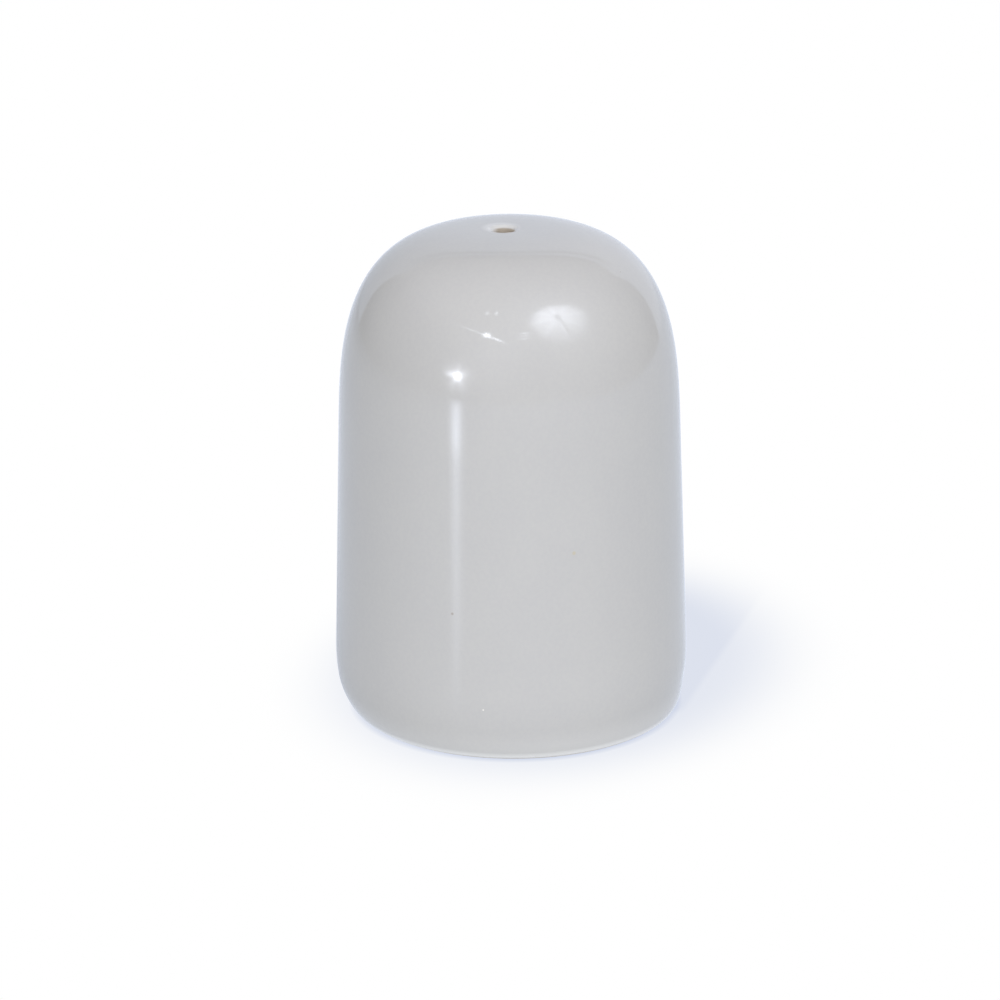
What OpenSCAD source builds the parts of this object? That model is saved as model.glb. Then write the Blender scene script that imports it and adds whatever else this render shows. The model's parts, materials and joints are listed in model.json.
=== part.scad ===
// Refillable table pepper shaker: a one-piece glazed ceramic shell with a domed top,
// one pour hole and a fill hole in the recessed base, closed by a soft moulded stopper.
// Millimetres, +Z up. The origin is the centre of the face that the shell stands on.

/* [Shell] */
// Height from the table to the crown of the dome
body_h = 80; // [70:1:95]
// Diameter that the tapered side line reaches at table level
base_d = 58; // [54:0.5:66]
// Lean of the side towards the axis, in degrees
side_taper = 1.8; // [0:0.1:3.5]
// Height over which the side rounds in to the foot
base_corner_h = 11; // [7:0.5:16]
// Distance of the foot's outer edge inside the side line at table level
foot_inset = 3.5; // [2:0.1:5]
// Height of the stretch that rounds over into the dome
dome_h = 32; // [26:0.5:40]
// Fullness of the dome where it leaves the side, 2 is an ellipse
dome_side_power = 3; // [2.2:0.1:4]
// Flatness of the dome round its crown, 2 is an ellipse
dome_crown_power = 3.3; // [2.2:0.1:4]
// Thickness of the cast wall on the side and the dome
wall_t = 3.5; // [2.5:0.1:4.5]

/* [Base] */
// Width of the flat ring that the shell stands on
foot_w = 4; // [3:0.1:5]
// Depth of the recess inside the foot ring
recess_depth = 3; // [2.6:0.1:4.5]
// Rounding of the foot ring's inner edge
foot_edge_r = 0.8; // [0.3:0.1:1.2]
// Rounding where the recess meets its ceiling
recess_corner_r = 1.5; // [0.5:0.1:1.8]
// Thickness of the floor between the recess and the chamber
floor_t = 4; // [3.8:0.1:6]
// Rounding of the chamber where its floor meets its side
chamber_corner_r = 5; // [2:0.5:8]
// Diameter of the fill hole in the floor
fill_hole_d = 20; // [16:0.5:22]
// Rounding of the fill hole's edges
fill_edge_r = 0.8; // [0.4:0.1:0.8]

/* [Pour hole] */
// Diameter of the pour hole in the crown
pour_hole_d = 3; // [2:0.1:5]
// Sideways distance of the pour hole from the axis, negative towards -X
pour_hole_x = -0.7; // [-2:0.1:2]
// Rounding of the pour hole's outer rim
pour_rim_r = 1.2; // [0.3:0.1:1.5]
// Rounding of the pour hole's inner rim
pour_inner_rim_r = 0.5; // [0.2:0.1:0.8]

/* [Stopper] */
// Distance that the stopper's flange reaches past the fill hole
flange_overlap = 3; // [2:0.1:4]
// Thickness of the stopper's flange
flange_t = 1.6; // [1.2:0.1:2]
// Radial gap between the stopper's skirt and the fill hole
skirt_gap = 0.5; // [0.3:0.05:0.6]
// Thickness of the stopper's skirt
skirt_t = 1.6; // [1.2:0.1:2.2]
// Height of the skirt above the shell's floor, inside the chamber
skirt_reach = 4.5; // [3:0.1:8]
// Narrowing of the skirt from the floor to its inner end
skirt_lead = 0.6; // [0:0.1:1]
// Rounding of the skirt's inner end
skirt_end_r = 1.2; // [0.5:0.1:1.5]
// Thickness of the closed inner end
end_t = 1.6; // [1.2:0.1:2.4]
// Radial clearance of the two seal ribs in the fill hole
rib_clearance = 0.05; // [0.02:0.01:0.1]
// Width of the grip bar across the stopper's mouth
grip_w = 3; // [2.2:0.1:3.6]
// Height of the grip bar
grip_h = 2.4; // [1.6:0.1:3]
// Depth of the grip bar's lower face inside the flange's lower face
grip_sink = 0.3; // [0:0.1:1]

/* [Colours] */
// Glaze
glaze_colour = "#CBCAC6"; // color
// Stopper
stopper_colour = "#E9E6DE"; // color

/* [Hidden] */
$fn = 96;

// Steps of a right-angle bend in an outline: tight roundings and the long curves
round_steps = 8;
corner_steps = 12;
dome_steps = 36;
// Extra length of a cutter past the face that it opens
cut_over = 1;
// Height at which the pour rim's round tops out above the crown, so the two surfaces cross
rim_rise = 0.03;

// Shell
side_r = base_d / 2;
foot_r = side_r - foot_inset;
recess_r = foot_r - foot_w;
dome_z = body_h - dome_h;
floor_z = recess_depth + floor_t;
fill_r = fill_hole_d / 2;
pour_r = pour_hole_d / 2;

// Stopper
flange_r = fill_r + flange_overlap;
flange_z = recess_depth - flange_t;
skirt_r = fill_r - skirt_gap;
skirt_end_z = floor_z + skirt_reach;
tip_r = skirt_r - skirt_lead;
cup_r = skirt_r - skirt_t;
cup_tip_r = tip_r - skirt_t;
cup_end_z = skirt_end_z - end_t;
rib_r = skirt_gap - rib_clearance;
rib_pitch = floor_t - 2 * fill_edge_r - 2 * rib_r;
rib_mid_z = recess_depth + floor_t / 2;

// Points of a circular arc, both ends included
function arc(centre_r, centre_z, r, from, to, steps = round_steps) = [
    for (i = [0:steps])
        let (a = from + (to - from) * i / steps)
            [centre_r + r * cos(a), centre_z + r * sin(a)]
];

// Radius of the tapered side line at a height
function side_at(z) = side_r - z * tan(side_taper);

// Outer surface round the base corner, from the foot edge at 0 up to the side at 90
function corner_point(t) =
    let (z = base_corner_h * (1 - cos(t)))
        [side_at(z) - foot_inset * (1 - sin(t)), z];

// Outer surface of the dome, from the side at 0 up to the crown at 90
function dome_point(t) =
    let (z = dome_z + dome_h * pow(sin(t), 2 / dome_side_power))
        [side_at(z) * pow(cos(t), 2 / dome_crown_power), z];

// Dome point moved inwards by the wall, along the normal there
function dome_inner_point(t) =
    let (
        p = dome_point(t),
        d = dome_point(min(t + 0.05, 90)) - dome_point(max(t - 0.05, 0)),
        n = [d[1], -d[0]] / norm(d)
    )
        t >= 90 ? [0, body_h - wall_t] : p - wall_t * n;

// The crown's steps crowd together at both ends, where the curve turns slowly
function dome_t(i) = 90 * i / dome_steps;

outer_corner = [for (i = [0:corner_steps]) corner_point(90 * i / corner_steps)];
outer_dome = [for (i = [1:dome_steps]) dome_point(dome_t(i))];
inner_dome = [for (i = [dome_steps:-1:1]) dome_inner_point(dome_t(i))];
chamber_side_r = side_at(floor_z + chamber_corner_r) - wall_t / cos(side_taper);

module shell_outline() {
    foot_face = arc(recess_r + foot_edge_r, foot_edge_r, foot_edge_r, 180, 270);
    recess_corner = arc(
        recess_r - recess_corner_r, recess_depth - recess_corner_r, recess_corner_r, 90, 0
    );
    fill_lower = arc(fill_r + fill_edge_r, recess_depth + fill_edge_r, fill_edge_r, 180, 270);
    fill_upper = arc(fill_r + fill_edge_r, floor_z - fill_edge_r, fill_edge_r, 90, 180);
    chamber_corner = arc(
        chamber_side_r - chamber_corner_r, floor_z + chamber_corner_r, chamber_corner_r, 0, -90,
        corner_steps
    );
    polygon(concat(
        foot_face,
        outer_corner,
        [[side_at(dome_z), dome_z]],
        outer_dome,
        inner_dome,
        chamber_corner,
        fill_upper,
        fill_lower,
        recess_corner
    ));
}

// Cutter of the pour hole: a true bore with a rounded rim at both ends
module pour_hole() {
    outer_rim_z = body_h - pour_rim_r + rim_rise;
    inner_rim_z = body_h - wall_t + pour_inner_rim_r - rim_rise;
    outer_rim = arc(pour_r + pour_rim_r, outer_rim_z, pour_rim_r, 180, 90);
    inner_rim = arc(pour_r + pour_inner_rim_r, inner_rim_z, pour_inner_rim_r, 270, 180);
    translate([pour_hole_x, 0, 0])
        rotate_extrude()
            polygon(concat(
                [[0, inner_rim_z - pour_inner_rim_r - cut_over]],
                [[pour_r + pour_inner_rim_r, inner_rim_z - pour_inner_rim_r - cut_over]],
                inner_rim,
                outer_rim,
                [[pour_r + pour_rim_r, body_h + cut_over]],
                [[0, body_h + cut_over]]
            ));
}

module shaker_body() {
    color(glaze_colour)
        difference() {
            rotate_extrude() shell_outline();
            pour_hole();
        }
}

// Seal rib: a half-round bead on the skirt
function rib(z) = arc(skirt_r, z, rib_r, -90, 90);

module stopper_outline() {
    flange_edge = arc(flange_r - flange_t / 2, flange_z + flange_t / 2, flange_t / 2, -90, 90);
    mouth_edge = arc(cup_r + skirt_t / 4, flange_z + skirt_t / 4, skirt_t / 4, 180, 270, 4);
    cup_corner = arc(cup_tip_r - skirt_end_r, cup_end_z - skirt_end_r, skirt_end_r, 90, 0);
    tip = arc(tip_r - skirt_end_r, skirt_end_z - skirt_end_r, skirt_end_r, 0, 90);
    polygon(concat(
        mouth_edge,
        flange_edge,
        [[skirt_r, recess_depth]],
        rib(rib_mid_z - rib_pitch / 2),
        rib(rib_mid_z + rib_pitch / 2),
        [[skirt_r, floor_z]],
        tip,
        [[0, skirt_end_z]],
        [[0, cup_end_z]],
        cup_corner
    ));
}

// Bar across the stopper's mouth that the fingers pull
module grip_bar() {
    bar_z = flange_z + grip_sink;
    round_r = min(grip_w, grip_h) / 3;
    rotate([90, 0, 90])
        linear_extrude(height = 2 * cup_r + skirt_t, center = true)
            polygon(concat(
                arc(grip_w / 2 - round_r, bar_z + round_r, round_r, -90, 0),
                arc(grip_w / 2 - round_r, bar_z + grip_h - round_r, round_r, 0, 90),
                arc(round_r - grip_w / 2, bar_z + grip_h - round_r, round_r, 90, 180),
                arc(round_r - grip_w / 2, bar_z + round_r, round_r, 180, 270)
            ));
}

module base_stopper() {
    color(stopper_colour)
        union() {
            rotate_extrude() stopper_outline();
            grip_bar();
        }
}

shaker_body();
base_stopper();
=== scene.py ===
"""Glazed stoneware pepper shaker with a soft silicone stopper, on a pale studio table."""

import json
import math

import bmesh
import bpy
import numpy
from mathutils import Matrix, Quaternion, Vector, noise


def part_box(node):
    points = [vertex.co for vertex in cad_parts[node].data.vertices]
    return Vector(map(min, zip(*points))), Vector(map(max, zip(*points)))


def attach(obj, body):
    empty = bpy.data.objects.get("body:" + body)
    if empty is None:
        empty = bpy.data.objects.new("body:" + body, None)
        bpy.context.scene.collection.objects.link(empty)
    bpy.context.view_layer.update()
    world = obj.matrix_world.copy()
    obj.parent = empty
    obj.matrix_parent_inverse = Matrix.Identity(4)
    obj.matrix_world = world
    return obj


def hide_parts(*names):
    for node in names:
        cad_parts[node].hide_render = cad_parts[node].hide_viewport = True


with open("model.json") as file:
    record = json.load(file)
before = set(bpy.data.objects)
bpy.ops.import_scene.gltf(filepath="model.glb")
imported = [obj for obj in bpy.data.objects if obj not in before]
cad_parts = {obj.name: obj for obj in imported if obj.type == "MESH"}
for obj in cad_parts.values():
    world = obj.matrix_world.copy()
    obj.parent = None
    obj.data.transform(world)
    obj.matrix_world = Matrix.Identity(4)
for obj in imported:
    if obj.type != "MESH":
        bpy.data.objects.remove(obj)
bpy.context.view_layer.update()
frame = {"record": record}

bl_info = {
    "name": "Glazed pepper shaker",
    "version": (1, 0, 0),
    "blender": (4, 5, 0),
    "location": "3D View > Sidebar > Shaker",
    "description": "Builds a glazed stoneware pepper shaker, its base stopper and a studio table",
    "category": "Object",
}

MM = 0.001
# Keeps a division from a zero
TINY = 0.001
PICTURE_WIDTH = 1000
SENSOR_WIDTH = 36.0

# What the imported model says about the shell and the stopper
MOUNTS = {mount["name"]: mount for mount in frame["record"]["mounts"]}
POUR_MOUNT = MOUNTS["pour_hole"]
SHELL_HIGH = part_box("shaker_body")[1]
STOPPER_LOW, STOPPER_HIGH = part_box("base_stopper")
# The pour hole cuts the very crown away, so the top of the box lies a hair under it
CROWN_Z = round(SHELL_HIGH.z / MM, 1) * MM

# Specks in the glaze at chosen places, the first a painted glint where a pinhole catches the light: x,
# y, z and radius in mm, strength and colour
SPECKS_AND_GLINT = (
    (-4.5, -28.3, 9.4, 0.14, 0.9, "#F6F3EC"),
    (9.9, -26.1, 34.7, 0.32, 0.45, "#C8BA8E"),
    (-9.2, -26.7, 25.0, 0.24, 0.45, "#8E7862"),
    (6.9, -27.9, 7.8, 0.16, 0.4, "#A89C8E"),
    (5.3, -27.2, 50.8, 0.2, 0.3, "#D8D0C0"),
    (21.6, -15.6, 53.6, 0.2, 0.35, "#A39A8C"),
)

# Table: how far it reaches to the left, right, front and back, in metres
TABLE_REACH = (1.1, 0.62, 1.1, 1.2)
# Its soft oval shadow, ahead and to the side as seen from the spot lamp, in mm, with the share of
# it that is evenly dark
SHADOW_MIDDLE = (17.0, 3.2)
SHADOW_RADII = (69.6, 53.2)
SHADOW_CORE = 0.49
# Tints, each as red, green and blue: what the table gives back, what it takes in the shadow,
# how the glaze mirrors it, the soft light, and the flash lamps
TABLE_TINT = (0.975, 1.0, 1.035)
SHADOW_TINT = (1.15, 1.0, 0.61)
MIRRORED_TABLE_TINT = (0.84, 0.91, 1.05)
SOFT_LIGHT_TINT = (0.995, 1.0, 1.045)
FLASH_TINT = (0.92, 0.97, 1.08)
# The room that the glaze mirrors: its backdrop's two sides, its walls, ceiling and one lamp
PANEL_LEFT = (0.61, 0.67, 0.78)
PANEL_RIGHT = (1.02, 1.08, 1.22)
ROOM_LEFT = (0.18, 0.18, 0.18)
ROOM_RIGHT = (0.46, 0.46, 0.47)
ROOM_OVERHEAD = (0.62, 0.62, 0.63)
ROOM_LAMP = (0.95, 1.0, 1.08)
BLACK = (0.0, 0.0, 0.0)
WHITE = (1.0, 1.0, 1.0)

# A Map Range node gives 0 at its second input and 1 at its third, or its fourth and fifth inputs
# there, and goes straight between them; this setting makes it smooth
SMOOTH = {"interpolation_type": "SMOOTHSTEP"}
# Nearly all that a noise texture gives lies between these
NOISE_RANGE = (0.35, 0.65)

# Soft lights: azimuth from the front towards the right and elevation, in degrees, and narrowness
SOFTBOX = (5, 46, 9.5)
BACK_LIGHT = (122, 62, 4.0)
ROOM_GLOW = (49, 38, 7.0)

# Lamps that the glaze mirrors: azimuth, elevation, half width, half height and tilt in degrees,
# brightness of the core and of the halo, share of the halo in spikes, the core's share of the card.
# The umbrella has its own paint, and so only the first five
UMBRELLA = (45.5, 38.0, 23.5, 19.0, -14.0)
LAMPS = {
    "umbrella_glow": (39.0, 45.0, 55.0, 48.0, 0.0, 0.75, 0.0, 0.0, 0.35),
    "strobe_glow": (-14.0, 19.0, 50.0, 45.0, 0.0, 0.75, 0.0, 0.0, 0.35),
    "strobe": (-35.0, 6.2, 14.0, 10.0, 0.0, 24.0, 6.8, 0.25, 0.185),
    "strobe_spike": (-40.0, 6.4, 9.0, 3.0, 0.0, 6.0, 0.0, 0.0, 0.35),
    "spot_lamp": (-17.5, 32.8, 6.0, 4.0, 0.0, 20.0, 1.5, 0.3, 0.35),
    "spot_flare": (-10.0, 30.2, 14.0, 2.2, -17.0, 7.0, 0.0, 0.0, 0.35),
    "cable": (-25.0, 34.3, 42.0, 1.4, -14.0, 3.2, 0.0, 0.0, 0.35),
    "ceiling_lamp_left": (-22.4, 52.4, 2.6, 5.0, 0.0, 5.2, 0.0, 0.0, 0.35),
    "ceiling_lamp_right": (-12.9, 53.3, 2.6, 5.0, 0.0, 5.4, 0.0, 0.0, 0.35),
    "window_upper": (12.4, 34.6, 12.0, 1.2, 0.0, 4.8, 0.0, 0.0, 0.35),
    "window_middle": (12.2, 32.4, 12.0, 1.2, 0.0, 4.0, 0.0, 0.0, 0.35),
    "window_lower": (11.9, 30.2, 12.0, 1.2, 0.0, 4.8, 0.0, 0.0, 0.35),
}


def length(name, millimetres, description):
    """A size property in metres, with its default given in millimetres."""
    return bpy.props.FloatProperty(
        name=name,
        description=description,
        default=millimetres * MM,
        subtype="DISTANCE",
        unit="LENGTH",
        precision=5,
    )


def turn(name, degrees, description):
    """An angle property, with its default given in degrees."""
    return bpy.props.FloatProperty(
        name=name,
        description=description,
        default=math.radians(degrees),
        subtype="ANGLE",
        unit="ROTATION",
    )


def number(name, value, description):
    """A plain number property."""
    return bpy.props.FloatProperty(name=name, description=description, default=value, precision=4)


def srgb(text):
    """An sRGB hex colour such as "#CBCAC6" as linear red, green and blue."""
    parts = [int(text[i : i + 2], 16) / 255 for i in (1, 3, 5)]
    return tuple(c / 12.92 if c <= 0.04045 else ((c + 0.055) / 1.055) ** 2.4 for c in parts)


def colour(name, text, description):
    """A colour property, with its default given as an sRGB hex value."""
    return bpy.props.FloatVectorProperty(
        name=name,
        description=description,
        default=srgb(text),
        size=3,
        subtype="COLOR",
        min=0,
        max=1,
    )


class ShakerShellSizes(bpy.types.PropertyGroup):
    """Sizes of the cast stoneware shell."""

    side_line: length("Side line", 58.0, "Diameter that the tapered side reaches at table level")
    taper: turn("Side taper", 1.8, "Lean of the side towards the axis")
    corner_height: length("Base corner", 11.0, "Height over which the side rounds in to the foot")
    foot_inset: length("Foot inset", 3.5, "Distance of the foot inside the side line")
    dome_height: length("Dome", 32.0, "Height of the stretch that rounds over into the dome")
    dome_side_power: number("Side fullness", 3.0, "Fullness of the dome where it leaves the side")
    dome_crown_power: number("Crown flatness", 3.3, "Flatness of the dome round its crown")
    wall: length("Wall", 3.5, "Thickness of the cast wall")
    foot_width: length("Foot ring", 4.0, "Width of the ring that the shell stands on")
    recess: length("Recess", 3.0, "Depth of the recess inside the foot ring")
    foot_edge: length("Foot edge", 0.8, "Rounding of the foot ring's inner edge")
    recess_corner: length("Recess corner", 1.5, "Rounding where the recess meets its ceiling")
    floor: length("Floor", 4.0, "Thickness of the floor between recess and chamber")
    chamber_corner: length("Chamber corner", 5.0, "Rounding of the chamber's floor")
    fill_hole: length("Fill hole", 20.0, "Diameter of the fill hole in the floor")
    fill_edge: length("Fill hole edge", 0.8, "Rounding of the fill hole's edges")
    pour_rim: length("Pour rim", 1.2, "Rounding of the pour hole's outer rim")
    pour_inner_rim: length("Inner pour rim", 0.5, "Rounding of the pour hole's inner rim")
    crown_blend: length("Crown blend", 9.0, "Radius at which the crown's rings are centred again")
    foot_shift: length("Foot shift", 0.75, "Sideways shift of the ground foot against the body")
    ripple: length("Ripple", 0.02, "Depth of the faint waves that the glaze keeps")
    ripple_length: length("Ripple length", 9.0, "Length of those waves")


class ShakerStopperSizes(bpy.types.PropertyGroup):
    """Sizes of the moulded stopper."""

    flange: length("Flange", 1.6, "Thickness of the flange")
    skirt_gap: length("Skirt gap", 0.5, "Radial gap between the skirt and the fill hole")
    skirt: length("Skirt", 1.6, "Thickness of the skirt")
    lead: length("Lead", 0.6, "Narrowing of the skirt towards its inner end")
    end_round: length("End rounding", 1.2, "Rounding of the skirt's inner end")
    end: length("Closed end", 1.6, "Thickness of the closed inner end")
    rib_clearance: length("Rib clearance", 0.05, "Clearance of the seal ribs in the fill hole")
    grip_width: length("Grip width", 3.0, "Width of the grip bar across the mouth")
    grip_height: length("Grip height", 2.4, "Height of the grip bar")
    grip_sink: length("Grip sink", 0.3, "Depth of the grip bar inside the flange's face")
    grip_waist: length("Grip waist", 0.25, "Narrowing of the grip bar's middle on each side")
    grip_root: length("Grip root", 0.3, "Widening of the grip bar where it meets the cup")
    gate: length("Gate mark", 1.6, "Diameter of the moulding gate's mark in the cup")
    face_step: length("Face step", 0.2, "Depth of the shallow ring in the flange's face")
    parting_line: length("Parting line", 0.04, "Height of the parting line on the flange's edge")


class ShakerColours(bpy.types.PropertyGroup):
    """Colours of the glaze, the bare clay and the stopper."""

    glaze: colour("Glaze", "#C6C5C2", "The glaze where it lies thick")
    glaze_cloud: colour("Glaze cloud", "#C3C2C0", "The glaze in its faint cool clouds")
    # Thin glaze, also used for painted light: a highlight off the pour hole's rim and light on the
    # foot's lower corner
    thin_glaze_and_light: colour("Thin glaze", "#ECEBE8", "The glaze where it thins over an edge")
    # Bare clay, also used for painted shade: the contact line along the foot's lowest edge and the
    # shaded side of the pour hole
    bare_clay_and_shade: colour("Bare clay", "#A99E8F", "The fired clay on the foot and in the pour hole")
    iron_speck: colour("Iron speck", "#7A6554", "A speck of iron under the glaze")
    stopper: colour("Stopper", "#E9E6DE", "The moulded stopper")
    stopper_shade: colour("Stopper shade", "#DDD8CC", "The stopper in its faint marbling")


class ShakerStudio(bpy.types.PropertyGroup):
    """Camera and light."""

    camera_distance: length("Camera distance", 650.0, "Distance from the middle of the shaker")
    camera_elevation: turn("Camera elevation", 18.606, "Height of the camera over the shaker's middle")
    camera_pitch: turn("Camera pitch", 19.059, "Downward tilt of the camera")
    camera_yaw: turn("Camera yaw", -0.152, "Sideways turn of the camera")
    camera_roll: turn("Camera roll", -0.521, "Roll of the camera")
    focal_pixels: number("Focal length in pixels", 4024.7, "Focal length over the picture's pixel size")
    fill: number("Fill", 0.256, "Strength of the even light")
    softbox: number("Softbox", 4.25, "Strength of the broad soft light in front")
    back_light: number("Back light", 0.25, "Strength of the soft light behind on the right")
    table_light: number("Table light", 0.83, "Light that the table gives back")
    strobe_azimuth: turn("Strobe azimuth", -35.5, "Direction of the left lamp from the front")
    spot_azimuth: turn("Spot azimuth", -16.8, "Direction of the lamp that casts the shadow")
    shadow_depth: number("Shadow depth", 0.191, "Share of the table's light that the shadow takes")


# ---------------------------------------------------------------- outlines


def arc(centre_r, centre_z, radius, start, end, steps=10):
    """Points (r, z) of a circular arc, both ends included; the angles are in degrees."""
    angles = [math.radians(start + (end - start) * i / steps) for i in range(steps + 1)]
    return [(centre_r + radius * math.cos(a), centre_z + radius * math.sin(a)) for a in angles]


class ShellShape:
    """The shell's outline, worked out from its sizes."""

    corner_steps = 24
    side_steps = 24
    dome_steps = 90

    def __init__(self, sizes):
        self.sizes = sizes
        self.side_r = sizes.side_line / 2
        self.foot_r = self.side_r - sizes.foot_inset
        self.recess_r = self.foot_r - sizes.foot_width
        self.dome_z = CROWN_Z - sizes.dome_height
        self.floor_z = sizes.recess + sizes.floor
        self.pour_r = POUR_MOUNT["dims"]["r_mm"] * MM
        self.pour_x = POUR_MOUNT["pos_m"][0]
        self.outer = [self.dome_point(90 * i / self.dome_steps) for i in range(self.dome_steps + 1)]
        self.inner = [self.inner_point(90 * i / self.dome_steps) for i in range(self.dome_steps + 1)]

    def side_at(self, z):
        return self.side_r - z * math.tan(self.sizes.taper)

    def corner_point(self, degrees):
        t = math.radians(degrees)
        z = self.sizes.corner_height * (1 - math.cos(t))
        return self.side_at(z) - self.sizes.foot_inset * (1 - math.sin(t)), z

    def dome_point(self, degrees):
        t = math.radians(degrees)
        rise = math.sin(t) ** (2 / self.sizes.dome_side_power)
        z = self.dome_z + self.sizes.dome_height * rise
        spread = max(math.cos(t), 0.0) ** (2 / self.sizes.dome_crown_power)
        return (self.side_at(z) * spread if degrees < 90 else 0.0), z

    def inner_point(self, degrees):
        if degrees >= 90:
            return 0.0, CROWN_Z - self.sizes.wall
        step = 0.05
        r, z = self.dome_point(degrees)
        before = self.dome_point(max(degrees - step, 0))
        after = self.dome_point(min(degrees + step, 90))
        dr, dz = after[0] - before[0], after[1] - before[1]
        size = math.hypot(dr, dz)
        return r - self.sizes.wall * dz / size, z + self.sizes.wall * dr / size

    def rippled(self, x, y, z):
        """A place on the outside, sunk a little by the faint waves that the glaze keeps."""
        place = Vector((x, y, z))
        wave = 0.5 + 0.5 * noise.noise(place / self.sizes.ripple_length)
        inwards = (Vector((0, 0, CROWN_Z / 2)) - place).normalized()
        return tuple(place + inwards * self.sizes.ripple * min(max(wave, 0.0), 1.0))

    def crown_height(self, points, radius):
        """Height of a dome outline at a distance from the axis."""
        radii = [p[0] for p in reversed(points)]
        heights = [p[1] for p in reversed(points)]
        return float(numpy.interp(radius, radii, heights))


# ---------------------------------------------------------------- meshes


def mesh_object(name, verts, faces, body, replaced):
    """A smooth mesh piece that rides a body and stands for a node."""
    mesh = bpy.data.meshes.new(name)
    mesh.from_pydata(verts, [], faces)
    mesh.validate()
    shape = bmesh.new()
    shape.from_mesh(mesh)
    bmesh.ops.recalc_face_normals(shape, faces=shape.faces)
    for face in shape.faces:
        face.smooth = True
    shape.to_mesh(mesh)
    shape.free()
    piece = bpy.data.objects.new(name, mesh)
    bpy.context.scene.collection.objects.link(piece)
    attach(piece, body)
    if replaced:
        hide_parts(replaced)
    return piece


def grid_faces(rings, segments, closed):
    """Quads between neighbouring rings of points, and from the last ring to the first."""
    faces = []
    count = rings if closed else rings - 1
    for i in range(count):
        low = i * segments
        high = ((i + 1) % rings) * segments
        for k in range(segments):
            n = (k + 1) % segments
            faces.append((low + k, low + n, high + n, high + k))
    return faces


def smooth_step(low, high, value):
    t = min(max((value - low) / (high - low), 0.0), 1.0)
    return t * t * (3 - 2 * t)


def shell_rings(shape):
    """Rings (radius, height or dome outline, sideways shift) round the shell's whole section."""
    sizes = shape.sizes
    blend = sizes.crown_blend
    rim_r = shape.pour_r + sizes.pour_rim
    inner_rim_r = shape.pour_r + sizes.pour_inner_rim
    rings = []

    def shift_at(radius, hole_edge):
        return shape.pour_x * (1 - smooth_step(hole_edge, blend, radius))

    def foot_shift_at(z):
        return sizes.foot_shift * max(1 - z / (sizes.corner_height / 2), 0.0) ** 1.5

    for r, z in arc(shape.recess_r + sizes.foot_edge, sizes.foot_edge, sizes.foot_edge, 180, 270):
        rings.append((r, z, 0.0))
    foot_in = shape.recess_r + sizes.foot_edge
    for i in range(1, 5):
        rings.append((foot_in + (shape.foot_r - foot_in) * i / 5, 0.0, sizes.foot_shift * i / 5))
    for i in range(shape.corner_steps + 1):
        r, z = shape.corner_point(90 * i / shape.corner_steps)
        rings.append((r, z, foot_shift_at(z)))
    for i in range(1, shape.side_steps):
        z = sizes.corner_height + (shape.dome_z - sizes.corner_height) * i / shape.side_steps
        rings.append((shape.side_at(z), z, 0.0))
    for r, z in shape.outer:
        if r > blend:
            rings.append((r, z, 0.0))
    crown_steps = 14
    for i in range(crown_steps + 1):
        r = blend + (rim_r - blend) * i / crown_steps
        rings.append((r, shape.outer, shift_at(r, rim_r)))
    rim_top = shape.crown_height(shape.outer, rim_r)
    for r, z in arc(rim_r, rim_top - sizes.pour_rim, sizes.pour_rim, 90, 180, 14)[1:]:
        rings.append((r, z, shape.pour_x))
    inner_z = CROWN_Z - sizes.wall
    bore_top = rim_top - sizes.pour_rim
    bore_low = inner_z + sizes.pour_inner_rim
    for i in range(1, 5):
        rings.append((shape.pour_r, bore_top + (bore_low - bore_top) * i / 5, shape.pour_x))
    for r, z in arc(inner_rim_r, bore_low, sizes.pour_inner_rim, 180, 270, 6):
        rings.append((r, z, shape.pour_x))
    for i in range(1, crown_steps + 1):
        r = inner_rim_r + (blend - inner_rim_r) * i / crown_steps
        rings.append((r, shape.inner, shift_at(r, inner_rim_r)))
    for r, z in reversed(shape.inner[:-1]):
        if r > blend:
            rings.append((r, z, 0.0))
    corner = sizes.chamber_corner
    chamber_r = shape.side_at(shape.floor_z + corner) - sizes.wall / math.cos(sizes.taper)
    for r, z in arc(chamber_r - corner, shape.floor_z + corner, corner, 0, -90, 14):
        rings.append((r, z, 0.0))
    fill_r = sizes.fill_hole / 2
    edge = sizes.fill_edge
    for r, z in arc(fill_r + edge, shape.floor_z - edge, edge, 90, 180):
        rings.append((r, z, 0.0))
    for r, z in arc(fill_r + edge, sizes.recess + edge, edge, 180, 270):
        rings.append((r, z, 0.0))
    bend = sizes.recess_corner
    for r, z in arc(shape.recess_r - bend, sizes.recess - bend, bend, 90, 0):
        rings.append((r, z, 0.0))
    return rings


def build_shell(shape, segments=224):
    """The shell as one closed skin: outside, through the pour hole, chamber, fill hole, foot."""
    rings = shell_rings(shape)
    crown = next(i for i, ring in enumerate(rings) if ring[1] is shape.outer)
    # The waves begin at this ring, halfway up the base corner, so the foot stays flat
    first_wavy = 30
    outside = range(first_wavy, crown)
    verts = []
    for i, (radius, height, shift) in enumerate(rings):
        for k in range(segments):
            a = 2 * math.pi * k / segments
            x = shift + radius * math.cos(a)
            y = radius * math.sin(a)
            z = height
            if isinstance(height, list):
                z = shape.crown_height(height, math.hypot(x, y))
            wavy = height is shape.outer or i in outside
            verts.append(shape.rippled(x, y, z) if wavy else (x, y, z))
    faces = grid_faces(len(rings), segments, closed=True)
    return mesh_object("shaker_shell", verts, faces, "body", "shaker_body")


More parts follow.
